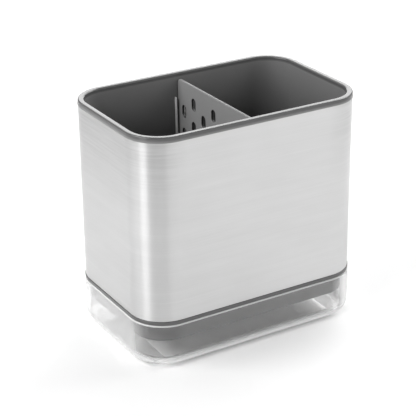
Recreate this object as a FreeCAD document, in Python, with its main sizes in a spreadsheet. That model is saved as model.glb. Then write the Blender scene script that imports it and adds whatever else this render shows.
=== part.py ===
import FreeCAD, Part
import math
import os
import Sketcher

# Kitchen sink caddy: a brushed steel sleeve held between a moulded liner and a
# base collar, a perforated divider in guides, and a clear drip tray below.
# Millimetres. X runs along the caddy, Y across it, Z up from the counter.

os.makedirs("parts", exist_ok=True)
doc = FreeCAD.newDocument("sink_caddy")

# Points of a sketch's lines and arcs, its origin, and how near counts as the same height.
START, END, CENTRE = 1, 2, 3
ORIGIN = (-1, 1)
close = 1e-4

# Driving sizes, each set on its own.
driving_sizes = {
    # steel sleeve
    "sleeve_length": 158.0,
    "sleeve_depth": 101.5,
    "sleeve_corner": 23.0,
    "sleeve_height": 116.0,
    "sheet_thickness": 0.6,
    # moulded liner, with its rim over the sleeve's top edge
    "sleeve_gap": 0.3,
    "liner_wall": 3.2,
    "liner_taper": 1.5,
    "liner_floor": 2.0,
    "floor_lift": 7.0,
    "floor_round": 3.0,
    "rim_height": 3.5,
    "rim_overhang": 0.4,
    "rim_round": 0.8,
    "mouth_round": 1.2,
    "rim_under_round": 0.3,
    # guide ribs for the divider on the long walls, closer at the foot than at the top
    "guide_width": 1.0,
    "guide_reach": 2.5,
    "guide_drop": 15.8,
    "guide_top_gap": 1.6,
    "guide_foot_gap": 0.4,
    # drain slots in the liner's floor
    "drain_width": 4.0,
    "drain_length": 26.0,
    "drain_pitch": 12.0,
    "drain_bridge": 10.0,
    "drain_margin": 9.0,
    # base collar: band under the sleeve, lip inside it, skirt down into the tray
    "band_height": 2.6,
    "band_overhang": 0.45,
    "band_round": 0.5,
    "lip_height": 4.0,
    "lip_thickness": 1.0,
    "lip_gap": 0.15,
    "skirt_inset": 4.0,
    "skirt_drop": 12.4,
    "skirt_wall": 2.0,
    "skirt_round": 0.8,
    "seat_width": 3.0,
    "opening_corner": 32.0,
    # nubs on the skirt's ends that centre the tray
    "nub_spacing": 48.5,
    "nub_width": 2.4,
    "nub_height": 3.6,
    "nub_slope": 0.7,
    "nub_drop": 7.0,
    "nub_gap": 0.35,
    # screws up through the collar into bosses under the liner's floor
    "screw_setback": 14.8,
    "shank_radius": 1.45,
    "screw_length": 8.5,
    "tip_length": 1.6,
    "tip_radius": 0.5,
    "head_radius": 2.8,
    "head_height": 1.9,
    "head_round": 1.0,
    "recess_width": 0.9,
    "recess_length": 3.2,
    "recess_depth": 1.0,
    "thread_slack": 0.05,
    "shank_slack": 0.25,
    "pilot_spare": 0.6,
    "boss_radius": 4.2,
    # removable divider
    "divider_thickness": 1.8,
    "divider_drop": 3.5,
    "divider_gap": 0.4,
    "divider_top_corner": 3.0,
    "divider_foot_corner": 5.0,
    "divider_round": 0.6,
    "slot_width": 5.0,
    "slot_height": 8.5,
    "slot_row_pitch": 7.9,
    "slot_column_pitch": 12.1,
    "slot_top_margin": 12.5,
    "slot_foot_margin": 10.0,
    "slot_side_margin": 5.5,
    "slot_shift": 2.0,
    # clear drip tray
    "tray_height": 29.8,
    "tray_wall": 2.5,
    "tray_edge": 8.0,
    "tray_lip_round": 1.1,
    "foot_inset_ends": 18.0,
    "foot_inset_sides": 12.5,
    "foot_corner": 3.0,
    "foot_height": 1.0,
    # space left between parts that lift apart
    "rest_gap": 0.1,
}

# Sizes and heights worked out from the driving ones, so that fits follow them.
worked_out_sizes = {
    "band_bottom": "tray_height + rest_gap",
    "band_top": "band_bottom + band_height",
    "sleeve_top": "band_top + sleeve_height",
    "rim_top": "sleeve_top + rim_height",
    "skirt_bottom": "band_bottom - skirt_drop",
    "floor_under": "band_top + floor_lift",
    "floor_top": "floor_under + liner_floor",
    "guide_top": "rim_top - guide_drop",
    "divider_bottom": "floor_top + rest_gap",
    "divider_top": "rim_top - divider_drop",
    "divider_height": "divider_top - divider_bottom",
    # sleeve, inside
    "sleeve_bore_length": "sleeve_length - 2 * sheet_thickness",
    "sleeve_bore_depth": "sleeve_depth - 2 * sheet_thickness",
    "sleeve_bore_corner": "sleeve_corner - sheet_thickness",
    # liner, outside at its top and foot
    "liner_length": "sleeve_bore_length - 2 * sleeve_gap",
    "liner_depth": "sleeve_bore_depth - 2 * sleeve_gap",
    "liner_corner": "sleeve_bore_corner - sleeve_gap",
    "liner_foot_length": "liner_length - 2 * liner_taper",
    "liner_foot_depth": "liner_depth - 2 * liner_taper",
    "liner_foot_corner": "liner_corner - liner_taper",
    # liner, inside at its mouth and floor
    "mouth_length": "liner_length - 2 * liner_wall",
    "mouth_depth": "liner_depth - 2 * liner_wall",
    "mouth_corner": "liner_corner - liner_wall",
    "floor_length": "mouth_length - 2 * liner_taper",
    "floor_depth": "mouth_depth - 2 * liner_taper",
    "floor_corner": "mouth_corner - liner_taper",
    "wall_slope": "liner_taper / (rim_top - floor_top)",
    "rim_length": "sleeve_length + 2 * rim_overhang",
    "rim_depth": "sleeve_depth + 2 * rim_overhang",
    "rim_corner": "sleeve_corner + rim_overhang",
    # guides, in plan at their foot and top, with their roots inside the drafted wall
    "guide_foot_near": "divider_thickness / 2 + guide_foot_gap",
    "guide_foot_wall": "floor_depth / 2",
    "guide_top_near": "divider_thickness / 2 + guide_top_gap",
    "guide_top_wall": "mouth_depth / 2 - wall_slope * guide_drop",
    # drain slots, counted so that they stay inside each half of the floor
    "drain_near": "divider_thickness / 2 + drain_margin",
    "drain_room": "floor_length / 2 - drain_margin - drain_near",
    "drain_steps": "floor(drain_room / drain_pitch)",
    "drain_middle": "(drain_length + drain_bridge) / 2",
    # base collar
    "band_length": "sleeve_length + 2 * band_overhang",
    "band_depth": "sleeve_depth + 2 * band_overhang",
    "band_corner": "sleeve_corner + band_overhang",
    "lip_length": "sleeve_bore_length - 2 * lip_gap",
    "lip_depth": "sleeve_bore_depth - 2 * lip_gap",
    "lip_corner": "sleeve_bore_corner - lip_gap",
    "lip_bore_length": "lip_length - 2 * lip_thickness",
    "lip_bore_depth": "lip_depth - 2 * lip_thickness",
    "lip_bore_corner": "lip_corner - lip_thickness",
    "skirt_length": "sleeve_length - 2 * skirt_inset",
    "skirt_depth": "sleeve_depth - 2 * skirt_inset",
    "skirt_corner": "sleeve_corner - skirt_inset",
    "skirt_bore_length": "skirt_length - 2 * skirt_wall",
    "skirt_bore_depth": "skirt_depth - 2 * skirt_wall",
    "skirt_bore_corner": "skirt_corner - skirt_wall",
    "opening_length": "skirt_bore_length - 2 * seat_width",
    "opening_depth": "skirt_bore_depth - 2 * seat_width",
    # nubs
    "nub_root": "skirt_length / 2 - skirt_wall / 2",
    "nub_tip": "band_length / 2 - tray_wall - nub_gap",
    "nub_middle": "band_bottom - nub_drop",
    # screws and bosses
    "screw_x": "sleeve_length / 2 - screw_setback",
    "screw_y": "sleeve_depth / 2 - screw_setback",
    "pilot_radius": "shank_radius + thread_slack",
    "pilot_depth": "screw_length - band_height + pilot_spare",
    "shank_hole_radius": "shank_radius + shank_slack",
    # divider and its slots, in staggered rows
    "divider_foot_width": "floor_depth + 2 * wall_slope * rest_gap - 2 * divider_gap",
    "divider_top_width": "divider_foot_width + 2 * wall_slope * divider_height",
    "slot_run": "divider_height - slot_top_margin - slot_foot_margin",
    "full_row_steps": "floor(slot_run / (2 * slot_row_pitch))",
    "offset_row_steps": "floor((slot_run - slot_row_pitch) / (2 * slot_row_pitch))",
    "slot_half_room": "divider_foot_width / 2 - slot_side_margin - slot_shift",
    "full_row_count": "2 * floor(slot_half_room / (2 * slot_column_pitch)) + 1",
    "full_row_span": "2 * slot_column_pitch * (full_row_count - 1)",
    "offset_row_count": "2 * floor((slot_half_room + slot_column_pitch) / (2 * slot_column_pitch))",
    "offset_row_span": "2 * slot_column_pitch * (offset_row_count - 1)",
    "first_row": "divider_top - slot_top_margin",
    # tray's underside
    "foot_length": "band_length - 2 * foot_inset_ends",
    "foot_depth": "band_depth - 2 * foot_inset_sides",
}


def make_sheet(name, cells, prefix):
    # one row per size: its name, then its value under an alias of that name
    table = doc.addObject("Spreadsheet::Sheet", name)
    for row, (alias, value) in enumerate(cells.items(), start=1):
        table.set(f"A{row}", alias)
        table.set(f"B{row}", prefix + str(value))
        table.setAlias(f"B{row}", alias)
    return table


def with_sheets(formula):
    # names in a formula get the sheet that holds them
    words = []
    for word in formula.replace("(", "( ").replace(")", " )").split():
        if word in driving_sizes:
            word = "sizes." + word
        elif word in worked_out_sizes:
            word = "fits." + word
        words.append(word)
    return " ".join(words)


sizes = make_sheet("sizes", driving_sizes, "")
doc.recompute()
fits_cells = {alias: with_sheets(formula) for alias, formula in worked_out_sizes.items()}
fits = make_sheet("fits", fits_cells, "=")
doc.recompute()


def worth(formula):
    # what a formula comes to, in millimetres
    return float(fits.evalExpression(with_sheets(formula)))


def bind(item, place, formula):
    item.setExpression(place, with_sheets(formula))


def origin_part(body, role):
    return next(item for item in body.Origin.OriginFeatures if item.Role == role)


def new_body(label):
    body = doc.addObject("PartDesign::Body", label)
    body.Label = label
    return body


def new_sketch(body, name, plane, offset=None):
    sketch = body.newObject("Sketcher::SketchObject", name)
    sketch.AttachmentSupport = [(origin_part(body, plane), "")]
    sketch.MapMode = "FlatFace"
    if offset:
        bind(sketch, "AttachmentOffset.Base.z", offset)
    doc.recompute()
    return sketch


def point(x, y):
    return FreeCAD.Vector(x, y, 0)


def hold(sketch, name, kind, formula, *refs):
    # a dimension with a name, tied to the sheets
    index = sketch.addConstraint(Sketcher.Constraint(kind, *refs, worth(formula)))
    sketch.renameConstraint(index, name)
    bind(sketch, "Constraints." + name, formula)


def hold_point(sketch, name, geometry, end, x, y):
    # a point's two distances from the sketch's origin
    hold(sketch, name + "_x", "DistanceX", x, *ORIGIN, geometry, end)
    hold(sketch, name + "_y", "DistanceY", y, *ORIGIN, geometry, end)


def arc(x, y, radius, start, end):
    circle = Part.Circle(point(x, y), FreeCAD.Vector(0, 0, 1), radius)
    return Part.ArcOfCircle(circle, math.radians(start), math.radians(end))


def join_round(sketch, loop):
    # lines and arcs in turn, each running smoothly into the next
    for first, second in zip(loop, loop[1:] + loop[:1]):
        sketch.addConstraint(Sketcher.Constraint("Tangent", first, END, second, START))


def rounded_rectangle(sketch, name, length, depth, corner):
    # centred on the sketch's origin
    half_x = worth(length) / 2
    half_y = worth(depth) / 2
    radius = worth(corner)
    flat_x = half_x - radius
    flat_y = half_y - radius
    loop = [
        sketch.addGeometry(Part.LineSegment(point(-flat_x, -half_y), point(flat_x, -half_y))),
        sketch.addGeometry(arc(flat_x, -flat_y, radius, -90, 0)),
        sketch.addGeometry(Part.LineSegment(point(half_x, -flat_y), point(half_x, flat_y))),
        sketch.addGeometry(arc(flat_x, flat_y, radius, 0, 90)),
        sketch.addGeometry(Part.LineSegment(point(flat_x, half_y), point(-flat_x, half_y))),
        sketch.addGeometry(arc(-flat_x, flat_y, radius, 90, 180)),
        sketch.addGeometry(Part.LineSegment(point(-half_x, flat_y), point(-half_x, -flat_y))),
        sketch.addGeometry(arc(-flat_x, -flat_y, radius, 180, 270)),
    ]
    join_round(sketch, loop)
    front, right, back, left = loop[0::2]
    corners = loop[1::2]
    for line in (front, back):
        sketch.addConstraint(Sketcher.Constraint("Horizontal", line))
    for line in (right, left):
        sketch.addConstraint(Sketcher.Constraint("Vertical", line))
    for other in corners[1:]:
        sketch.addConstraint(Sketcher.Constraint("Equal", corners[0], other))
    sketch.addConstraint(Sketcher.Constraint("Symmetric", front, START, back, START, *ORIGIN))
    hold(sketch, name + "_length", "DistanceX", length, left, START, right, START)
    hold(sketch, name + "_depth", "DistanceY", depth, front, START, back, START)
    hold(sketch, name + "_corner", "Radius", corner, corners[0])


def upright_slot(sketch, middle_x, middle_y, width, height):
    # obround, taller than it is wide
    x = worth(middle_x)
    y = worth(middle_y)
    radius = worth(width) / 2
    reach = worth(height) / 2 - radius
    loop = [
        sketch.addGeometry(Part.LineSegment(point(x + radius, y - reach), point(x + radius, y + reach))),
        sketch.addGeometry(arc(x, y + reach, radius, 0, 180)),
        sketch.addGeometry(Part.LineSegment(point(x - radius, y + reach), point(x - radius, y - reach))),
        sketch.addGeometry(arc(x, y - reach, radius, 180, 360)),
    ]
    join_round(sketch, loop)
    side, top, _, foot = loop
    sketch.addConstraint(Sketcher.Constraint("Vertical", side))
    sketch.addConstraint(Sketcher.Constraint("Equal", top, foot))
    hold(sketch, "end_radius", "Radius", f"{width} / 2", top)
    hold(sketch, "reach", "DistanceY", f"{height} - {width}", foot, CENTRE, top, CENTRE)
    hold_point(sketch, "foot", foot, CENTRE, middle_x, f"{middle_y} - ({height} - {width}) / 2")


def corner_circles(sketch, radius):
    # one circle at each of the four screw places
    for index, (side_x, side_y) in enumerate(((1, 1), (-1, 1), (-1, -1), (1, -1))):
        x = f"{side_x} * screw_x"
        y = f"{side_y} * screw_y"
        middle = point(worth(x), worth(y))
        circle = sketch.addGeometry(Part.Circle(middle, FreeCAD.Vector(0, 0, 1), worth(radius)))
        hold(sketch, f"radius_{index}", "Radius", radius, circle)
        hold_point(sketch, f"middle_{index}", circle, CENTRE, x, y)


def polygon(sketch, corners):
    # straight outline through corners, each a pair of formulas
    places = [point(worth(x), worth(y)) for x, y in corners]
    lines = []
    for first, second in zip(places, places[1:] + places[:1]):
        lines.append(sketch.addGeometry(Part.LineSegment(first, second)))
    for first, second in zip(lines, lines[1:] + lines[:1]):
        sketch.addConstraint(Sketcher.Constraint("Coincident", first, END, second, START))
    for index, (x, y) in enumerate(corners):
        hold_point(sketch, f"corner_{index}", lines[index], START, x, y)


def finish_feature(body, feature):
    doc.recompute()
    body.Tip = feature
    if feature.Shape.isNull() or not feature.isValid():
        raise RuntimeError(feature.Label + " failed")
    return feature


def pad(body, sketch, name, length, reverse=False, middle=False):
    feature = body.newObject("PartDesign::Pad", name)
    feature.Profile = sketch
    bind(feature, "Length", length)
    feature.Reversed = reverse
    feature.Midplane = middle
    return finish_feature(body, feature)


def pocket(body, sketch, name, length, reverse=False, middle=False):
    before = body.Shape.Volume
    feature = body.newObject("PartDesign::Pocket", name)
    feature.Profile = sketch
    bind(feature, "Length", length)
    feature.Reversed = reverse
    feature.Midplane = middle
    finish_feature(body, feature)
    if feature.Shape.Volume >= before:
        raise RuntimeError(name + " cut nothing")
    return feature


def loft(body, kind, name, first, second):
    feature = body.newObject("PartDesign::" + kind, name)
    feature.Profile = first
    feature.Sections = [second]
    feature.Ruled = True
    return finish_feature(body, feature)


def round_edges(body, name, radius, chosen):
    # rounds every edge that the test chooses
    base = body.Tip
    names = [f"Edge{n}" for n, edge in enumerate(base.Shape.Edges, start=1) if chosen(edge)]
    if not names:
        raise RuntimeError(name + " found no edge")
    feature = body.newObject("PartDesign::Fillet", name)
    feature.Base = (base, names)
    bind(feature, "Radius", radius)
    return finish_feature(body, feature)


def pattern(body, name, features, steps):
    # each step is a kind with its settings and the formulas bound to them
    feature = body.newObject("PartDesign::MultiTransform", name)
    feature.Originals = features
    made = []
    for number, (kind, settings, formulas) in enumerate(steps):
        step = body.newObject("PartDesign::" + kind, f"{name}_{number}")
        for place, value in settings.items():
            setattr(step, place, value)
        for place, formula in formulas.items():
            bind(step, place, formula)
        made.append(step)
    feature.Transformations = made
    return finish_feature(body, feature)


def mirror(body, plane):
    return "Mirrored", {"MirrorPlane": (origin_part(body, plane), [""])}, {}


def repeat(body, axis, extent, count, backwards=False):
    settings = {"Direction": (origin_part(body, axis), [""]), "Reversed": backwards}
    return "LinearPattern", settings, {"Length": extent, "Occurrences": count}


def level(edge, height):
    # the edge lies flat at a named height
    box = edge.BoundBox
    return abs(box.ZMin - worth(height)) < close and abs(box.ZMax - worth(height)) < close


def on_outline(edge, length, depth):
    # the edge lies on a centred rectangle of this size, not inside it
    box = edge.BoundBox
    on_end = abs(max(-box.XMin, box.XMax) - worth(length) / 2) < close
    on_side = abs(max(-box.YMin, box.YMax) - worth(depth) / 2) < close
    return on_end or on_side


def steel_sleeve():
    body = new_body("steel_sleeve")
    ring = new_sketch(body, "sleeve_ring", "XY_Plane", "band_top")
    rounded_rectangle(ring, "outside", "sleeve_length", "sleeve_depth", "sleeve_corner")
    rounded_rectangle(ring, "inside", "sleeve_bore_length", "sleeve_bore_depth", "sleeve_bore_corner")
    pad(body, ring, "sleeve_wall", "sleeve_height")
    return body


def rib_outline(sketch, near, wall):
    # plan of one guide rib, from inside the wall to its round nose
    radius = worth("guide_width") / 2
    far = f"{near} + guide_width"
    root = f"{wall} + liner_wall / 2"
    middle = f"{near} + guide_width / 2"
    nose = f"{wall} - guide_reach + guide_width / 2"
    near_x, far_x, middle_x = worth(near), worth(far), worth(middle)
    root_y, nose_y = worth(root), worth(nose)
    side, back, face, round_nose = [
        sketch.addGeometry(Part.LineSegment(point(far_x, nose_y), point(far_x, root_y))),
        sketch.addGeometry(Part.LineSegment(point(far_x, root_y), point(near_x, root_y))),
        sketch.addGeometry(Part.LineSegment(point(near_x, root_y), point(near_x, nose_y))),
        sketch.addGeometry(arc(middle_x, nose_y, radius, 180, 360)),
    ]
    for first, second in ((side, back), (back, face)):
        sketch.addConstraint(Sketcher.Constraint("Coincident", first, END, second, START))
    for first, second in ((face, round_nose), (round_nose, side)):
        sketch.addConstraint(Sketcher.Constraint("Tangent", first, END, second, START))
    sketch.addConstraint(Sketcher.Constraint("Vertical", side))
    sketch.addConstraint(Sketcher.Constraint("Horizontal", back))
    hold(sketch, "nose_radius", "Radius", "guide_width / 2", round_nose)
    hold_point(sketch, "nose", round_nose, CENTRE, middle, nose)
    hold(sketch, "root_y", "DistanceY", root, *ORIGIN, back, START)


def liner():
    body = new_body("liner")
    # drafted outside, then the rim over the sleeve's edge
    foot = new_sketch(body, "foot_outline", "XY_Plane", "band_top")
    rounded_rectangle(foot, "foot", "liner_foot_length", "liner_foot_depth", "liner_foot_corner")
    top = new_sketch(body, "top_outline", "XY_Plane", "sleeve_top")
    rounded_rectangle(top, "top", "liner_length", "liner_depth", "liner_corner")
    loft(body, "AdditiveLoft", "bucket", foot, top)
    rim = new_sketch(body, "rim_outline", "XY_Plane", "sleeve_top")
    rounded_rectangle(rim, "rim", "rim_length", "rim_depth", "rim_corner")
    pad(body, rim, "rim_plate", "rim_height")
    # drafted inside down to the floor, and the open foot below it
    floor_line = new_sketch(body, "floor_outline", "XY_Plane", "floor_top")
    rounded_rectangle(floor_line, "floor", "floor_length", "floor_depth", "floor_corner")
    mouth = new_sketch(body, "mouth_outline", "XY_Plane", "rim_top")
    rounded_rectangle(mouth, "mouth", "mouth_length", "mouth_depth", "mouth_corner")
    loft(body, "SubtractiveLoft", "inside", floor_line, mouth)
    foot_bore = new_sketch(body, "foot_bore", "XY_Plane", "band_top")
    rounded_rectangle(foot_bore, "bore", "floor_length", "floor_depth", "floor_corner")
    pocket(body, foot_bore, "foot_hollow", "floor_lift", reverse=True)
    round_edges(body, "floor_fillet", "floor_round", lambda edge: level(edge, "floor_top"))
    # the rim's outer edges above and below, then the mouth
    for name, radius, height in (
        ("rim_top_fillet", "rim_round", "rim_top"),
        ("rim_under_fillet", "rim_under_round", "sleeve_top"),
    ):
        round_edges(
            body,
            name,
            radius,
            lambda edge: level(edge, height) and on_outline(edge, "rim_length", "rim_depth"),
        )
    round_edges(
        body,
        "mouth_fillet",
        "mouth_round",
        lambda edge: level(edge, "rim_top") and on_outline(edge, "mouth_length", "mouth_depth"),
    )
    # guide ribs, each with a round nose, two on each long wall
    foot_rib = new_sketch(body, "guide_foot", "XY_Plane", "floor_top")
    rib_outline(foot_rib, "guide_foot_near", "guide_foot_wall")
    top_rib = new_sketch(body, "guide_head", "XY_Plane", "guide_top")
    rib_outline(top_rib, "guide_top_near", "guide_top_wall")
    guide = loft(body, "AdditiveLoft", "guide", foot_rib, top_rib)
    pattern(body, "guides", [guide], [mirror(body, "YZ_Plane"), mirror(body, "XZ_Plane")])
    # bosses down to the collar, with pilot holes from below
    bosses = new_sketch(body, "boss_outline", "XY_Plane", "band_top")
    corner_circles(bosses, "boss_radius")
    pad(body, bosses, "bosses", "floor_lift + liner_floor / 2")
    pilots = new_sketch(body, "pilot_outline", "XY_Plane", "band_top")
    corner_circles(pilots, "pilot_radius")
    pocket(body, pilots, "pilots", "pilot_depth", reverse=True)
    # drain slots, two rows in each half of the floor
    drain = new_sketch(body, "drain_outline", "XY_Plane", "floor_under")
    upright_slot(drain, "drain_near", "drain_middle", "drain_width", "drain_length")
    slot = pocket(body, drain, "drain_slot", "liner_floor", reverse=True)
    pattern(
        body,
        "drain_slots",
        [slot],
        [
            repeat(body, "X_Axis", "drain_steps * drain_pitch", "drain_steps + 1"),
            mirror(body, "YZ_Plane"),
            mirror(body, "XZ_Plane"),
        ],
    )
    return body


def base_collar():
    body = new_body("base_collar")
    band = new_sketch(body, "band_outline", "XY_Plane", "band_bottom")
    rounded_rectangle(band, "band", "band_length", "band_depth", "band_corner")
    pad(body, band, "band", "band_height")
    round_edges(
        body,
        "band_fillet",
        "band_round",
        lambda edge: level(edge, "band_bottom") or level(edge, "band_top"),
    )
    opening = new_sketch(body, "opening_outline", "XY_Plane", "band_bottom")
    rounded_rectangle(opening, "opening", "opening_length", "opening_depth", "opening_corner")
    pocket(body, opening, "opening", "band_height", reverse=True)
    lip = new_sketch(body, "lip_ring", "XY_Plane", "band_top")
    rounded_rectangle(lip, "lip", "lip_length", "lip_depth", "lip_corner")
    rounded_rectangle(lip, "bore", "lip_bore_length", "lip_bore_depth", "lip_bore_corner")
    pad(body, lip, "lip", "lip_height")
    skirt = new_sketch(body, "skirt_ring", "XY_Plane", "band_bottom")
    rounded_rectangle(skirt, "skirt", "skirt_length", "skirt_depth", "skirt_corner")
    rounded_rectangle(skirt, "bore", "skirt_bore_length", "skirt_bore_depth", "skirt_bore_corner")
    pad(body, skirt, "skirt", "skirt_drop", reverse=True)
    round_edges(
        body,
        "skirt_fillet",
        "skirt_round",
        lambda edge: level(edge, "skirt_bottom") and on_outline(edge, "skirt_length", "skirt_depth"),
    )
    # nubs that centre the tray, sloped above and below
    nub = new_sketch(body, "nub_outline", "XZ_Plane", "0 - nub_spacing / 2")
    foot = "nub_middle - nub_height / 2"
    head = "nub_middle + nub_height / 2"
    polygon(
        nub,
        [
            ("nub_root", foot),
            ("nub_tip", f"{foot} + nub_slope"),
            ("nub_tip", f"{head} - nub_slope"),
            ("nub_root", head),
        ],
    )
    first = pad(body, nub, "nub", "nub_width", middle=True)
    pattern(body, "nubs", [first], [mirror(body, "YZ_Plane"), mirror(body, "XZ_Plane")])
    holes = new_sketch(body, "screw_holes", "XY_Plane", "band_bottom")
    corner_circles(holes, "shank_hole_radius")
    pocket(body, holes, "holes", "band_height", reverse=True)
    return body


def base_screws():
    # one screw turned about its own axis, head down, and its three mirror images
    body = new_body("base_screw")
    outline = new_sketch(body, "screw_outline", "XZ_Plane")
    polygon(
        outline,
        [
            ("0", "0 - head_height"),
            ("head_radius", "0 - head_height"),
            ("head_radius", "0"),
            ("shank_radius", "0"),
            ("shank_radius", "screw_length - tip_length"),
            ("tip_radius", "screw_length"),
            ("0", "screw_length"),
        ],
    )
    turned = body.newObject("PartDesign::Revolution", "turned")
    turned.Profile = outline
    turned.ReferenceAxis = (outline, ["V_Axis"])
    turned.Angle = 360
    finish_feature(body, turned)
    head_rim = worth("head_radius") - close
    round_edges(
        body,
        "head_fillet",
        "head_round",
        lambda edge: level(edge, "0 - head_height") and edge.BoundBox.XMax > head_rim,
    )
    arms = (("recess_width", "recess_length"), ("recess_length", "recess_width"))
    for number, (across, along) in enumerate(arms):
        arm = new_sketch(body, f"recess_outline_{number}", "XY_Plane", "0 - head_height")
        left, right = f"0 - {across} / 2", f"{across} / 2"
        front, back = f"0 - {along} / 2", f"{along} / 2"
        polygon(arm, [(left, front), (right, front), (right, back), (left, back)])
        pocket(body, arm, f"recess_{number}", "recess_depth", reverse=True)
    bind(body, "Placement.Base.x", "screw_x")
    bind(body, "Placement.Base.y", "screw_y")
    bind(body, "Placement.Base.z", "band_bottom")
    doc.recompute()

    def mirrored(name, source, normal):
        copy = doc.addObject("Part::Mirroring", name)
        copy.Source = source
        copy.Normal = normal
        return copy

    left = mirrored("left_screw", body, FreeCAD.Vector(1, 0, 0))
    front = mirrored("front_screw", body, FreeCAD.Vector(0, 1, 0))
    front_left = mirrored("front_left_screw", left, FreeCAD.Vector(0, 1, 0))
    group = doc.addObject("Part::Compound", "base_screws")
    group.Label = "base_screws"
    group.Links = [body, left, front, front_left]
    doc.recompute()
    return group


def divider():
    body = new_body("divider")
    plate = new_sketch(body, "plate_outline", "YZ_Plane")
    polygon(
        plate,
        [
            ("0 - divider_foot_width / 2", "divider_bottom"),
            ("divider_foot_width / 2", "divider_bottom"),
            ("divider_top_width / 2", "divider_top"),
            ("0 - divider_top_width / 2", "divider_top"),
        ],
    )
    pad(body, plate, "plate", "divider_thickness", middle=True)

    def across(edge, name):
        # a short edge through the plate, at a named height
        box = edge.BoundBox
        return box.XLength > worth("divider_thickness") - close and level(edge, name)

    round_edges(body, "top_corners", "divider_top_corner", lambda edge: across(edge, "divider_top"))
    round_edges(body, "foot_corners", "divider_foot_corner", lambda edge: across(edge, "divider_bottom"))
    round_edges(body, "plate_fillet", "divider_round", lambda edge: edge.BoundBox.XLength < close)
    # vent slots: full rows, and rows between them that are offset by half a pitch
    for name, height in (("full", "first_row"), ("offset", "first_row - slot_row_pitch")):
        span, count, steps = f"{name}_row_span", f"{name}_row_count", f"{name}_row_steps"
        outline = new_sketch(body, name + "_slot_outline", "YZ_Plane")
        upright_slot(outline, f"slot_shift - {span} / 2", height, "slot_width", "slot_height")
        first = pocket(body, outline, name + "_slot", "2 * divider_thickness", middle=True)
        pattern(
            body,
            name + "_slots",
            [first],
            [
                repeat(body, "Y_Axis", span, count),
                repeat(body, "Z_Axis", f"2 * slot_row_pitch * {steps}", f"{steps} + 1", backwards=True),
            ],
        )
    return body


def drip_tray():
    body = new_body("drip_tray")
    outline = new_sketch(body, "tray_outline", "XY_Plane")
    rounded_rectangle(outline, "tray", "band_length", "band_depth", "band_corner")
    pad(body, outline, "block", "tray_height")
    round_edges(body, "bottom_round", "tray_edge", lambda edge: edge.BoundBox.ZMax < close)
    block = body.Tip
    top = [f"Face{n}" for n, face in enumerate(block.Shape.Faces, start=1)
           if face.BoundBox.ZMin > worth("tray_height") - close]
    shell = body.newObject("PartDesign::Thickness", "shell")
    shell.Base = (block, top)
    bind(shell, "Value", "tray_wall")
    shell.Reversed = True
    finish_feature(body, shell)
    round_edges(body, "lip_round", "tray_lip_round", lambda edge: level(edge, "tray_height"))
    # hollow under the floor, which leaves a ring to stand on
    hollow = new_sketch(body, "hollow_outline", "XY_Plane")
    rounded_rectangle(hollow, "hollow", "foot_length", "foot_depth", "foot_corner")
    pocket(body, hollow, "hollow", "foot_height", reverse=True)
    return body


sub_parts = [steel_sleeve(), liner(), base_collar(), base_screws(), divider(), drip_tray()]
doc.recompute()

for item in doc.Objects:
    if "Invalid" in item.State or "Error" in item.State:
        raise RuntimeError(f"{item.Label} is {item.State}")
for item in sub_parts:
    if item.Shape.isNull() or not item.Shape.isValid():
        raise RuntimeError(item.Label + " has no valid shape")
for item in sub_parts:
    item.Shape.exportStep(f"parts/{item.Label}.step")
    print(item.Label, len(item.Shape.Solids), "solid", round(item.Shape.Volume), "mm3")
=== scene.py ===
import math
import bpy
import bmesh
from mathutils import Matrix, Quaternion, Vector


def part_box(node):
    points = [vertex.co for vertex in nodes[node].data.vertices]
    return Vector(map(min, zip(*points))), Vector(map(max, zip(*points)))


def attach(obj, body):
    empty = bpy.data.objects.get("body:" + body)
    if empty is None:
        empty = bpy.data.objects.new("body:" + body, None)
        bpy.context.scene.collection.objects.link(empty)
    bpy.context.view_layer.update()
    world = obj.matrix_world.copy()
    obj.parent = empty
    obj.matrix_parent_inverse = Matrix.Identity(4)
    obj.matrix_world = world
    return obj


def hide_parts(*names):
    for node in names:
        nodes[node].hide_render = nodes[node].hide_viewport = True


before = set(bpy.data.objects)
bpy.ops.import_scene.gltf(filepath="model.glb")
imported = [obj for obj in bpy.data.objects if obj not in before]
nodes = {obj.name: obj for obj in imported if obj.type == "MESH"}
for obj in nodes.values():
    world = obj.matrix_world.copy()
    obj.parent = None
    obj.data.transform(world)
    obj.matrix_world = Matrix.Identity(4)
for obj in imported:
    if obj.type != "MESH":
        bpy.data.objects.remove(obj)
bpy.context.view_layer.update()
mm = 0.001                                     # sizes below are in millimetres
tiny = 1e-6                                    # metres, closer than this is the same place
print("frame loaded:", ", ".join(sorted(nodes)))


class Wire:
    # one socket of a finish, usable in sums
    def __init__(self, finish, socket):
        self.finish, self.socket = finish, socket

    def maths(self, operation, first, second):
        return self.finish.node("ShaderNodeMath", {"operation": operation}, {0: first, 1: second})

    def __add__(self, other): return self.maths("ADD", self, other)
    def __radd__(self, other): return self.maths("ADD", other, self)
    def __sub__(self, other): return self.maths("SUBTRACT", self, other)
    def __rsub__(self, other): return self.maths("SUBTRACT", other, self)
    def __mul__(self, other): return self.maths("MULTIPLY", self, other)
    def __rmul__(self, other): return self.maths("MULTIPLY", other, self)
    def __abs__(self): return self.maths("ABSOLUTE", self, 0)


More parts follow.
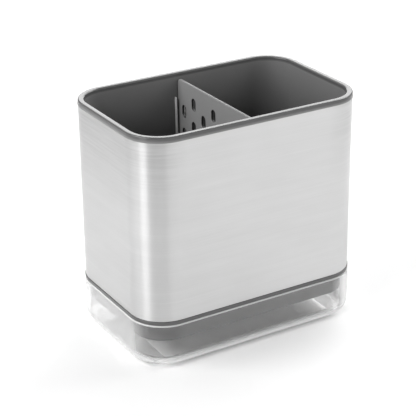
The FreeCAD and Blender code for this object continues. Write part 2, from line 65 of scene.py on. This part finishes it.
class Finish:
    # a material under construction
    def __init__(self, name):
        self.material = bpy.data.materials.new(name)
        self.material.use_nodes = True
        self.tree = self.material.node_tree
        self.tree.nodes.clear()

    def node(self, kind, settings=None, links=None, out=0):
        made = self.tree.nodes.new(kind)
        for key, value in (settings or {}).items():
            setattr(made, key, value)
        for key, value in (links or {}).items():
            if isinstance(value, Wire):
                self.tree.links.new(value.socket, made.inputs[key])
            else:
                made.inputs[key].default_value = value
        return Wire(self, made.outputs[out]) if made.outputs else None

    def done(self, shader):
        self.node("ShaderNodeOutputMaterial", links={"Surface": shader})
        return self.material

    def noise(self, scale, detail=2.0, roughness=0.5):
        # about -1 to 1, on object coordinates in metres, stretched by the three scales
        where = self.node("ShaderNodeTexCoord", out="Object")
        spot = self.node("ShaderNodeMapping", links={"Vector": where, "Scale": scale})
        grain = self.node("ShaderNodeTexNoise", links={
            "Vector": spot, "Scale": 1.0, "Detail": detail, "Roughness": roughness})
        return grain * 2 - 1

    def place(self, axis):
        where = self.node("ShaderNodeTexCoord", out="Object")
        return self.node("ShaderNodeSeparateXYZ", links={0: where}, out=axis)

    def ramp(self, value, ends, most=1.0, unit=mm):
        # 0 at the first end, most at the second
        return self.node("ShaderNodeMapRange", links={
            "Value": value, "From Min": ends[0] * unit, "From Max": ends[1] * unit,
            "To Min": 0.0, "To Max": most})

    def bump(self, height, distance):
        return self.node("ShaderNodeBump", links={"Strength": 1.0, "Distance": distance, "Height": height})


def greyTone(tone):
    return (tone, tone, tone, 1)


# every pattern's scale is in cycles per metre along X, Y and Z
steel = {
    "tone": 0.635,
    "roughness": 0.35, "anisotropy": 0.92, "turn": 0.25,     # brushed round the sleeve
    # brush marks, and how much each changes the tone
    "hair": 0.045, "stroke": 0.03, "patch": 0.035, "cloud": 0.035,
    "hairScale": (16, 16, 2600), "strokeScale": (7, 7, 700),
    "patchScale": (24, 24, 150), "cloudScale": (22, 22, 22),
    "roughChange": 0.05,
    "strokeHeight": 0.004,                                   # mm
    # painted shade on the ends, darker towards the top under the rim, streaked there by coarser brushing:
    # where that starts and is full, mm
    "endShade": 0.15, "endStreak": 0.2, "endX": (50, 68), "endZ": (98, 150), "endScale": (30, 30, 950),
}


def brushedSteel():
    f = Finish("brushedSteel")
    hair = f.noise(steel["hairScale"], detail=3)
    stroke = f.noise(steel["strokeScale"])
    patch = f.noise(steel["patchScale"])
    cloud = f.noise(steel["cloudScale"])
    scratch = f.noise(steel["endScale"], detail=3, roughness=0.6)
    # the upper ends are painted darker as painted shade, with brush streaks through it
    upperEnds = f.ramp(abs(f.place("X")), steel["endX"]) * f.ramp(f.place("Z"), steel["endZ"])
    marks = (1 + steel["hair"] * hair + steel["stroke"] * stroke
             + steel["patch"] * patch + steel["cloud"] * cloud)
    ends = 1 - upperEnds * (steel["endShade"] - steel["endStreak"] * scratch)
    shader = f.node("ShaderNodeBsdfPrincipled", links={
        "Base Color": steel["tone"] * marks * ends, "Metallic": 1.0,
        "Roughness": steel["roughness"] + steel["roughChange"] * stroke,
        "Anisotropic": steel["anisotropy"], "Anisotropic Rotation": steel["turn"],
        "Normal": f.bump(stroke, steel["strokeHeight"] * mm)})
    return f.done(shader)


plastic = {
    "dark": 0.103, "grey": 0.31,
    "roughness": 0.16, "greyRoughness": 0.36, "roughChange": 0.03,
    # flow marks and fine moulded texture, and how much each changes the tone
    "cloud": 0.05, "cloudScale": (30, 30, 30), "speck": 0.06, "speckScale": (1900, 1900, 1900),
    "textureHeight": 0.004,                    # mm
    "ior": 1.5,
    # the bucket is more matt inside than on its rim; inside it is painted paler at the mouth as painted light
    # and darker towards the floor as painted shade:
    # heights in mm where each change starts and is full
    "mouthLight": 1.05, "deepShade": -0.5, "insideRough": 0.14,
    "insideMouth": (150.4, 149.0), "insideFloor": (37.5, 39.5), "insideDepth": (98, 149),
    # painted light on its guide ribs: they are painted pale, more so higher up
    "ribLightTone": 3.2, "ribLightX": (5.5, 5.0), "ribLightY": (46.0, 45.3), "ribLightZ": (46, 70),
    # painted shade in the divider's slots and along its edges, which are also duller: mm from the middle of
    # its thickness
    "edgeX": (0.85, 0.55), "edgeShade": 0.35, "slotShade": 0.57, "slotZ": (146, 141), "edgeRough": 0.1,
}


def bucketShading(f):
    # a factor for the tone, and what is added to the roughness
    height = f.place("Z")
    inside = f.ramp(height, plastic["insideMouth"]) * f.ramp(height, plastic["insideFloor"])
    # painted light inside near the mouth, and painted shade deeper down towards the floor
    lift = plastic["mouthLight"] - plastic["deepShade"]
    paintedShading = plastic["deepShade"] + f.ramp(height, plastic["insideDepth"], lift)
    # painted light: the guide ribs painted pale, more so higher up
    ribLight = f.ramp(abs(f.place("X")), plastic["ribLightX"]) * f.ramp(abs(f.place("Y")), plastic["ribLightY"])
    ribLight = ribLight * f.ramp(height, plastic["ribLightZ"], plastic["ribLightTone"])
    return (1 + inside * paintedShading) * (1 + ribLight), plastic["insideRough"] * inside


def plateShading(f):
    # painted shade along the edges and, below the top, in the slots
    edge = f.ramp(abs(f.place("X")), plastic["edgeX"])
    slots = f.ramp(f.place("Z"), plastic["slotZ"], plastic["slotShade"])
    return 1 - edge * (plastic["edgeShade"] + slots), plastic["edgeRough"] * edge


def mouldedPlastic(name, tone, roughness, paintedShading):
    f = Finish(name)
    speck = f.noise(plastic["speckScale"])
    cloud = f.noise(plastic["cloudScale"], detail=3)
    toneShading, roughWear = paintedShading(f)
    shader = f.node("ShaderNodeBsdfPrincipled", links={
        "Base Color": tone * (1 + plastic["cloud"] * cloud + plastic["speck"] * speck) * toneShading,
        "Roughness": roughness + plastic["roughChange"] * cloud + roughWear,
        "IOR": plastic["ior"], "Normal": f.bump(speck, plastic["textureHeight"] * mm)})
    return f.done(shader)


clear = {
    "tone": 0.95, "passing": 0.98, "roughness": 0.03, "ior": 1.5,
    "smear": 0.02, "smearScale": (140, 140, 140),
    "waveHeight": 0.003, "waveScale": (60, 60, 90),          # slow moulding waves, mm high
    # painted light: the lip and the round foot are painted white where the clear edges gather light and pass
    # it on: mm where that starts and is full
    "edgeTone": 0.9,
    "lipGlow": 0.75, "lipZone": (28.6, 29.1),
    "footGlow": 0.85, "footZone": (8.0, 4.0), "footX": (71.5, 75.0), "footY": (43.2, 46.7),
    "footShade": 0.85,
    # painted reflection: a milky white veil where the wall is seen at a flat angle
    "sheen": 0.47, "sheenBlend": 0.5, "sheenFacing": (0.2, 0.62), "sheenZone": (2.6, 4.0), "sheenTone": 0.8,
}


def clearPlastic():
    f = Finish("clearPlastic")
    wave = f.noise(clear["waveScale"])
    smear = f.noise(clear["smearScale"], detail=3)
    shader = f.node("ShaderNodeBsdfPrincipled", links={
        "Base Color": greyTone(clear["tone"]),
        "Roughness": clear["roughness"] + clear["smear"] * smear, "IOR": clear["ior"],
        "Transmission Weight": 1.0, "Normal": f.bump(wave, clear["waveHeight"] * mm)})
    height = f.place("Z")
    edge = f.node("ShaderNodeMath", {"operation": "MAXIMUM"}, {
        0: f.ramp(abs(f.place("X")), clear["footX"]), 1: f.ramp(abs(f.place("Y")), clear["footY"])})
    foot = edge * f.ramp(height, clear["footZone"])
    # painted light: the lip and round foot are mixed with white
    glow = f.ramp(height, clear["lipZone"], clear["lipGlow"]) + clear["footGlow"] * foot
    white = f.node("ShaderNodeBsdfDiffuse", links={"Color": greyTone(clear["edgeTone"])})
    shader = f.node("ShaderNodeMixShader", links={0: glow, 1: shader, 2: white})
    facing = f.node("ShaderNodeLayerWeight", links={"Blend": clear["sheenBlend"]}, out="Facing")
    # painted reflection: a white veil where the wall is seen at a flat angle, not on the floor of the tray
    sheen = f.ramp(facing, clear["sheenFacing"], clear["sheen"], unit=1) * f.ramp(height, clear["sheenZone"])
    sheenVeil = f.node("ShaderNodeBsdfDiffuse", links={"Color": greyTone(clear["sheenTone"])})
    shader = f.node("ShaderNodeMixShader", links={0: sheen, 1: shader, 2: sheenVeil})
    # lamps shine through it, as they do through real clear plastic, and less through its round foot
    shadowRay = f.node("ShaderNodeLightPath", out="Is Shadow Ray")
    passing = f.node("ShaderNodeBsdfTransparent", links={"Color": greyTone(clear["passing"])})
    lit = shadowRay * (1 - clear["footShade"] * foot)
    return f.done(f.node("ShaderNodeMixShader", links={0: lit, 1: shader, 2: passing}))


steelFinish = brushedSteel()
darkFinish = mouldedPlastic("darkPlastic", plastic["dark"], plastic["roughness"], bucketShading)
greyFinish = mouldedPlastic("greyPlastic", plastic["grey"], plastic["greyRoughness"], plateShading)
clearFinish = clearPlastic()
print("finishes made")

# how finely curves are divided, and the angle in degrees from which an edge stays sharp
mesh = {
    "cornerSteps": 24, "slotSteps": 10, "roundSteps": 5, "holeSteps": 40,
    "plateEdgeSteps": 4, "slotEdgeSteps": 3, "nubSteps": 2,
    "sharpAngle": 40,
    "hold": 0.2,                               # metres, see skin
}


def inOrder(items):
    # without repeats, in the same order each run, which a set isn't
    return list(dict.fromkeys(items))


def roundLoop(bm, corners, radii, steps):
    # closed loop of edges through the corners, each rounded
    old = set(bm.verts)
    points = [bm.verts.new(Vector(corner) * mm) for corner in corners]
    bm.faces.new(points)
    for point, radius in zip(points, radii):
        bmesh.ops.bevel(bm, geom=[point], offset=radius * mm, segments=steps, profile=0.5,
                        affect="VERTICES", material=-1)
    made = [v for v in bm.verts if v not in old]
    bmesh.ops.remove_doubles(bm, verts=made, dist=tiny)
    made = [v for v in bm.verts if v not in old]
    bmesh.ops.delete(bm, geom=inOrder(face for v in made for face in v.link_faces), context="FACES_ONLY")
    return inOrder(edge for v in made for edge in v.link_edges)


def flatLoop(bm, half, corner, z, centre=(0, 0), steps=mesh["cornerSteps"]):
    corners = [(centre[0] + x * half[0], centre[1] + y * half[1], z)
               for x, y in ((-1, -1), (1, -1), (1, 1), (-1, 1))]
    return roundLoop(bm, corners, [corner] * 4, steps)


class Footprint:
    # a node's rounded rectangle seen from above, as loops at any inset and height
    def __init__(self, node, corner):
        low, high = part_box(node)
        self.half, self.corner = (high[0] / mm, high[1] / mm), corner
        self.bottom, self.top = low[2] / mm, high[2] / mm

    def loop(self, bm, inset, z):
        return flatLoop(bm, [size - inset for size in self.half], self.corner - inset, z)


def skin(bm, loops, closed=False, away=(0, 0, mesh["hold"])):
    # a loop is held away while it is joined, because the strip between two level loops can twist
    following = loops[1:] + loops[:1] if closed else loops[1:]
    for first, second in zip(loops, following):
        ends = inOrder(v for edge in second for v in edge.verts)
        bmesh.ops.translate(bm, verts=ends, vec=away)
        bmesh.ops.bridge_loops(bm, edges=first + second)
        bmesh.ops.translate(bm, verts=ends, vec=[-step for step in away])


def cap(bm, *loops):
    # a flat face inside the first loop, with the other loops as holes
    if len(loops) == 1:
        bmesh.ops.edgeloop_fill(bm, edges=loops[0])
    else:
        bmesh.ops.triangle_fill(bm, edges=[edge for loop in loops for edge in loop], use_beauty=True)


def roundOver(bm, radius, *loops, steps=mesh["roundSteps"]):
    bmesh.ops.recalc_face_normals(bm, faces=bm.faces)
    bmesh.ops.bevel(bm, geom=[edge for loop in loops for edge in loop], offset=radius * mm,
                    segments=steps, profile=0.5, affect="EDGES", material=-1)


def addPiece(name, bm, material):
    bmesh.ops.recalc_face_normals(bm, faces=bm.faces)
    data = bpy.data.meshes.new(name)
    bm.to_mesh(data)
    bm.free()
    data.materials.append(material)
    piece = bpy.data.objects.new(name, data)
    bpy.context.scene.collection.objects.link(piece)
    return piece


def combine(piece, tool, operation):
    # a Boolean that is applied at once
    step = piece.modifiers.new(operation, "BOOLEAN")
    step.operation, step.object, step.solver = operation, tool, "EXACT"
    bpy.context.view_layer.update()
    result = bpy.data.meshes.new_from_object(piece.evaluated_get(bpy.context.evaluated_depsgraph_get()))
    piece.modifiers.clear()
    piece.data = result
    bpy.data.objects.remove(tool)


def smooth(piece):
    piece.data.shade_smooth()
    piece.data.set_sharp_from_angle(angle=math.radians(mesh["sharpAngle"]))
    weighted = piece.modifiers.new("weighted", "WEIGHTED_NORMAL")
    weighted.keep_sharp = True


sleeve = {"corner": 23.0, "sheet": 0.6, "edgeRound": 0.12}


def makeSleeve():
    shape = Footprint("steel_sleeve", sleeve["corner"])
    bm = bmesh.new()
    loops = [shape.loop(bm, inset, z) for inset, z in (
        (0, shape.bottom), (0, shape.top), (sleeve["sheet"], shape.top), (sleeve["sheet"], shape.bottom))]
    skin(bm, loops, closed=True)
    roundOver(bm, sleeve["edgeRound"], *loops)
    piece = addPiece("sleeve", bm, steelFinish)
    smooth(piece)
    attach(piece, "caddy")
    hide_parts("steel_sleeve")
    return shape


sleeveShape = makeSleeve()

liner = {
    "rimCorner": 23.4, "rimRound": 0.8, "rimLean": 0.5, "rimUnderRound": 0.3, "mouthRound": 1.2,
    "topInset": 1.3, "footInset": 2.8, "mouthInset": 4.5, "floorInset": 6.0,
    "floorTop": 41.5, "floorThickness": 2.0, "floorRound": 3.0,
    "guideWidth": 1.0, "guideReach": 2.5, "guideRoot": 1.6, "guideTop": 136.2,
    "guideFootX": 1.8, "guideTopX": 3.0, "guideRound": 0.3, "guideSink": 0.5,
    "drainHalf": (2.0, 13.0), "drainFirst": 9.9, "drainPitch": 12.0, "drainColumns": 5, "drainY": 18.0,
    "drainRound": 0.4, "drainTurn": 0.3,       # its soft edge turns at this share of its depth
    "bossPlace": (64.2, 35.95), "bossRadius": 4.2, "pilotRadius": 1.5, "pilotDepth": 6.5,
    "overlap": 1.0,                            # so that joined and cut shapes don't end level
}


def eachCorner(place):
    return [(x * place[0], y * place[1]) for x in (-1, 1) for y in (-1, 1)]


def drainLoops(bm, z, grow):
    half = [size + grow for size in liner["drainHalf"]]
    columns = [liner["drainFirst"] + i * liner["drainPitch"] for i in range(liner["drainColumns"])]
    return [flatLoop(bm, half, half[0], z, centre, mesh["slotSteps"])
            for column in columns for centre in eachCorner((column, liner["drainY"]))]


def flatFace(bm, z):
    # the largest flat face at a height
    level = [face for face in bm.faces if all(abs(v.co.z - z * mm) < tiny for v in face.verts)]
    return max(level, key=lambda face: face.calc_area())


def openFace(bm, z):
    face = flatFace(bm, z)
    edges = list(face.edges)
    bmesh.ops.delete(bm, geom=[face], context="FACES_ONLY")
    return edges


def roundPosts(radius, bottom, top):
    # one at each screw
    posts = bmesh.new()
    for x, y in eachCorner(liner["bossPlace"]):
        made = bmesh.ops.create_cone(posts, cap_ends=True, segments=mesh["holeSteps"], radius1=radius * mm,
                                     radius2=radius * mm, depth=(top - bottom) * mm)
        bmesh.ops.translate(posts, verts=made["verts"], vec=Vector((x, y, (top + bottom) / 2)) * mm)
    return posts


def makeLiner():
    shape = Footprint("liner", liner["rimCorner"])
    floorTop, floorUnder = liner["floorTop"], liner["floorTop"] - liner["floorThickness"]
    bm = bmesh.new()
    loops = [shape.loop(bm, inset, z) for inset, z in (
        (liner["floorInset"], floorUnder), (liner["floorInset"], shape.bottom),
        (liner["footInset"], shape.bottom), (liner["topInset"], sleeveShape.top),
        (0, sleeveShape.top), (liner["rimLean"], shape.top),
        (liner["mouthInset"], shape.top), (liner["floorInset"], floorTop))]
    under, (rimUnder, rim, mouth, floor) = loops[0], loops[4:]
    skin(bm, loops)
    cap(bm, floor)
    cap(bm, under)
    roundOver(bm, liner["floorRound"], floor)
    roundOver(bm, liner["rimRound"], rim)
    roundOver(bm, liner["mouthRound"], mouth)
    roundOver(bm, liner["rimUnderRound"], rimUnder)
    # drain slots through the floor
    soft = liner["drainRound"]
    turn = liner["drainTurn"] * soft
    levels = [drainLoops(bm, z, grow) for z, grow in (
        (floorTop, soft), (floorTop - turn, turn), (floorTop - soft, 0), (floorUnder, 0))]
    for slot in zip(*levels):
        skin(bm, list(slot))
    cap(bm, openFace(bm, floorTop), *levels[0])
    cap(bm, openFace(bm, floorUnder), *levels[-1])
    piece = addPiece("linerBucket", bm, darkFinish)

    ribs = bmesh.new()
    slope = (liner["floorInset"] - liner["mouthInset"]) / (shape.top - floorTop)
    half = (liner["guideWidth"] / 2, (liner["guideReach"] + liner["guideRoot"]) / 2)
    for x, y in eachCorner((1, 1)):
        ends = []
        for z, place in ((floorTop - liner["guideSink"], liner["guideFootX"]),
                         (liner["guideTop"], liner["guideTopX"])):
            wall = shape.half[1] - liner["floorInset"] + slope * (z - floorTop)
            middle = wall + (liner["guideRoot"] - liner["guideReach"]) / 2
            ends.append(flatLoop(ribs, half, half[0], z, (x * place, y * middle), mesh["slotSteps"]))
        skin(ribs, ends)
        cap(ribs, ends[0])
        cap(ribs, ends[1])
        roundOver(ribs, liner["guideRound"], ends[1])
    combine(piece, addPiece("ribs", ribs, darkFinish), "UNION")

    past, pilotTop = liner["overlap"], shape.bottom + liner["pilotDepth"]
    for radius, bottom, top, operation in (
            (liner["bossRadius"], shape.bottom, floorUnder + past, "UNION"),
            (liner["pilotRadius"], shape.bottom - past, pilotTop, "DIFFERENCE")):
        posts = roundPosts(radius, bottom, top)
        combine(piece, addPiece("posts", posts, darkFinish), operation)
    smooth(piece)
    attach(piece, "caddy")
    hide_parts("liner")


makeLiner()

collar = {
    "bandCorner": 23.45, "bandHeight": 2.6, "bandRound": 0.5,
    "lipOut": 1.2, "lipIn": 2.2, "lipRound": 0.2,
    "skirtOut": 4.45, "skirtIn": 6.45, "skirtRound": 0.8,
    "openingHalf": (70.0, 41.75), "openingCorner": 32.0,
    "nubSpacing": 48.5, "nubWidth": 2.4, "nubHeight": 3.6, "nubSlope": 0.7, "nubTip": 76.6, "nubDrop": 7.0,
    "nubRound": 0.15, "nubRoot": 1.0,
    "holeRadius": 1.7,
}


def makeCollar():
    shape = Footprint("base_collar", collar["bandCorner"])
    bandTop = sleeveShape.bottom
    bandBottom = bandTop - collar["bandHeight"]
    bm = bmesh.new()
    band = [shape.loop(bm, 0, z) for z in (bandBottom, bandTop)]
    lip = [shape.loop(bm, inset, z) for inset, z in (
        (collar["lipOut"], bandTop), (collar["lipOut"], shape.top),
        (collar["lipIn"], shape.top), (collar["lipIn"], bandTop))]
    opening = [flatLoop(bm, collar["openingHalf"], collar["openingCorner"], z) for z in (bandTop, bandBottom)]
    skirt = [shape.loop(bm, inset, z) for inset, z in (
        (collar["skirtIn"], bandBottom), (collar["skirtIn"], shape.bottom),
        (collar["skirtOut"], shape.bottom), (collar["skirtOut"], bandBottom))]
    skin(bm, band + lip + opening + skirt, closed=True)
    roundOver(bm, collar["bandRound"], *band)
    roundOver(bm, collar["lipRound"], *lip[1:3])
    roundOver(bm, collar["skirtRound"], skirt[2])
    piece = addPiece("collar", bm, darkFinish)

    nubs = bmesh.new()
    root = shape.half[0] - collar["skirtOut"] - collar["nubRoot"]
    for x, y in eachCorner((1, collar["nubSpacing"] / 2)):
        block = bmesh.ops.create_cube(nubs, size=mm)["verts"]
        reach = collar["nubTip"] - root
        bmesh.ops.scale(nubs, verts=block, vec=(reach, collar["nubWidth"], collar["nubHeight"]))
        tip = [v for v in block if v.co.x * x > 0]
        bmesh.ops.scale(nubs, verts=tip, vec=(1, 1, 1 - 2 * collar["nubSlope"] / collar["nubHeight"]))
        place = Vector((x * (root + reach / 2), y, bandBottom - collar["nubDrop"])) * mm
        bmesh.ops.translate(nubs, verts=block, vec=place)
    roundOver(nubs, collar["nubRound"], nubs.edges[:], steps=mesh["nubSteps"])
    combine(piece, addPiece("nubs", nubs, darkFinish), "UNION")

    past = collar["bandHeight"] / 2
    holes = roundPosts(collar["holeRadius"], bandBottom - past, bandTop + past)
    combine(piece, addPiece("holes", holes, darkFinish), "DIFFERENCE")
    smooth(piece)
    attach(piece, "caddy")
    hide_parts("base_collar")


makeCollar()

plate = {
    "thickness": 1.8, "footHalf": 44.75, "topCorner": 3.0, "footCorner": 5.0, "edgeRound": 0.6,
    "slotHalf": (2.5, 4.25), "slotRound": 0.35,
    "columnPitch": 12.1, "rowPitch": 7.9, "firstRow": 12.5, "shift": 2.0,
    "columns": (3, 4), "rows": 11,             # full rows and offset rows take turns
}


def quarter(radius, steps):
    # inset and depth along a rounded edge, from the face to the wall
    turns = [math.radians(90 * i / steps) for i in range(steps + 1)]
    return [(radius * (1 - math.sin(turn)), radius * (1 - math.cos(turn))) for turn in turns]


def makeDivider():
    low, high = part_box("divider")
    bottom, top, topHalf = low[2] / mm, high[2] / mm, high[1] / mm
    half = plate["thickness"] / 2
    bm = bmesh.new()

    def edgeLoop(inset, depth):
        corners = [(half - depth, y * (size - inset), z) for y, size, z in (
            (-1, plate["footHalf"], bottom + inset), (1, plate["footHalf"], bottom + inset),
            (1, topHalf, top - inset), (-1, topHalf, top - inset))]
        radii = [plate[key] - inset for key in ("footCorner", "footCorner", "topCorner", "topCorner")]
        return roundLoop(bm, corners, radii, mesh["slotSteps"])

    def slotLoop(y, z, grow, depth):
        wide, tall = [size + grow for size in plate["slotHalf"]]
        corners = [(half - depth, y + a * wide, z + b * tall)
                   for a, b in ((-1, -1), (1, -1), (1, 1), (-1, 1))]
        return roundLoop(bm, corners, [wide] * 4, mesh["slotSteps"])

    aside = (mesh["hold"], 0, 0)
    edge = [edgeLoop(inset, depth) for inset, depth in quarter(plate["edgeRound"], mesh["plateEdgeSteps"])]
    edge.append(edgeLoop(0, half))
    skin(bm, edge, away=aside)
    fronts = [edge[0]]
    for row in range(plate["rows"]):
        count = plate["columns"][row % 2]
        for column in range(count):
            y = plate["shift"] + (2 * column - count + 1) * plate["columnPitch"]
            z = top - plate["firstRow"] - row * plate["rowPitch"]
            soft = quarter(plate["slotRound"], mesh["slotEdgeSteps"])
            slot = [slotLoop(y, z, grow, depth) for grow, depth in soft]
            slot.append(slotLoop(y, z, 0, half))
            skin(bm, slot, away=aside)
            fronts.append(slot[0])
    cap(bm, *fronts)
    bmesh.ops.mirror(bm, geom=bm.verts[:] + bm.edges[:] + bm.faces[:], axis="X", merge_dist=tiny)
    piece = addPiece("dividerPlate", bm, greyFinish)
    smooth(piece)
    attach(piece, "divider")
    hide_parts("divider")


makeDivider()

tray = {
    "corner": 23.45, "wall": 2.5, "bottomRound": 8.0, "turnSteps": 14, "lipRound": 1.1,
    "hollowInset": (18.0, 12.5), "hollowCorner": 3.0, "hollowDepth": 1.0,
}


def makeTray():
    shape = Footprint("drip_tray", tray["corner"])
    wall, turn = tray["wall"], tray["bottomRound"]
    bm = bmesh.new()
    outerFoot, outerLip, innerLip, floor = loops = [shape.loop(bm, inset, z) for inset, z in (
        (0, shape.bottom), (0, shape.top), (wall, shape.top), (wall, shape.bottom + wall))]
    skin(bm, loops)
    cap(bm, outerFoot)
    cap(bm, floor)
    roundOver(bm, turn, outerFoot, steps=tray["turnSteps"])
    roundOver(bm, turn - wall, floor, steps=tray["turnSteps"])
    roundOver(bm, tray["lipRound"], outerLip, innerLip)
    hollowHalf = [size - inset for size, inset in zip(shape.half, tray["hollowInset"])]
    hollow = [flatLoop(bm, hollowHalf, tray["hollowCorner"], z)
              for z in (shape.bottom, shape.bottom + tray["hollowDepth"])]
    skin(bm, [openFace(bm, shape.bottom)] + hollow)
    cap(bm, hollow[1])
    piece = addPiece("clearTray", bm, clearFinish)
    smooth(piece)
    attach(piece, "tray")
    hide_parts("drip_tray")


makeTray()

nodes["base_screws"].data.materials.clear()
nodes["base_screws"].data.materials.append(steelFinish)
print("pieces made")

studio = {
    "floorSize": 40.0, "floorTone": 0.97,
    "floorFade": (0.4, 1.0),                   # metres out to where it is plain white
    "world": 0.2,
    "reach": 1.4, "aimHeight": 0.09,           # metres to the lamps, and the height they point at
    # azimuth from the front towards the left, elevation, width, height, watts
    "lights": {
        "leftStrip": (77, 8, 0.50, 0.55, 1.9),
        "leftHigh": (97, 42, 1.10, 0.75, 14.5),
        "rightHigh": (-103, 42, 1.50, 0.75, 15.5),
        "backHigh": (180, 42, 1.50, 0.75, 3.2),
        "backRight": (-147, 20, 1.20, 0.45, 5.2),
        "frontRight": (-22, 14, 1.80, 0.60, 3.1),
        "frontBand": (0, 22, 2.40, 0.45, 2.2),
    },
}


def along(azimuth, elevation):
    # unit vector: azimuth 0 is the front, and it grows to the left
    a, e = math.radians(azimuth), math.radians(elevation)
    return Vector((-math.sin(a) * math.cos(e), -math.cos(a) * math.cos(e), math.sin(e)))


def makeStudio():
    world = bpy.data.worlds.new("studio")
    bpy.context.scene.world = world
    world.use_nodes = True
    background = world.node_tree.nodes["Background"].inputs
    background["Color"].default_value = greyTone(1)
    background["Strength"].default_value = studio["world"]
    for name, (azimuth, elevation, width, height, watts) in studio["lights"].items():
        data = bpy.data.lights.new(name, "AREA")
        data.shape, data.size, data.size_y, data.energy = "RECTANGLE", width, height, watts
        lamp = bpy.data.objects.new(name, data)
        bpy.context.scene.collection.objects.link(lamp)
        lamp.location = along(azimuth, elevation) * studio["reach"] + Vector((0, 0, studio["aimHeight"]))
        lamp.rotation_euler = (-along(azimuth, elevation)).to_track_quat("-Z", "Y").to_euler()
    bpy.ops.mesh.primitive_plane_add(size=studio["floorSize"])
    floor = bpy.context.object
    floor.name = "floor"
    f = Finish("paleFloor")
    pale = f.node("ShaderNodeBsdfDiffuse", links={"Color": greyTone(studio["floorTone"])})
    white = f.node("ShaderNodeEmission", links={"Color": greyTone(1)})
    where = f.node("ShaderNodeTexCoord", out="Object")
    away = f.node("ShaderNodeVectorMath", {"operation": "LENGTH"}, {0: where}, "Value")
    fade = f.ramp(away, studio["floorFade"], unit=1)
    floor.data.materials.append(f.done(f.node("ShaderNodeMixShader", links={0: fade, 1: pale, 2: white})))
    bpy.context.scene.view_settings.view_transform = "Standard"


makeStudio()

camera = {
    "azimuth": 31.32,                          # degrees, to the left of the front
    "elevation": 23.28,
    "distance": 0.8947,                        # metres, from the middle
    "middle": (0, 0, 0.0905),
    "aim": (-0.00784, -0.0023, 0.07668),
    "lens": 121.46, "sensor": 36,              # mm
    "roll": -0.53,
}


def makeCamera():
    data = bpy.data.cameras.new("photoView")
    data.lens, data.sensor_width = camera["lens"], camera["sensor"]
    made = bpy.data.objects.new("photoView", data)
    bpy.context.scene.collection.objects.link(made)
    towards = along(camera["azimuth"], camera["elevation"])
    made.location = Vector(camera["middle"]) + towards * camera["distance"]
    turn = (Vector(camera["aim"]) - made.location).to_track_quat("-Z", "Y")
    made.rotation_euler = (turn @ Quaternion((0, 0, 1), math.radians(camera["roll"]))).to_euler()
    bpy.context.scene.camera = made


makeCamera()
print("studio and camera set")
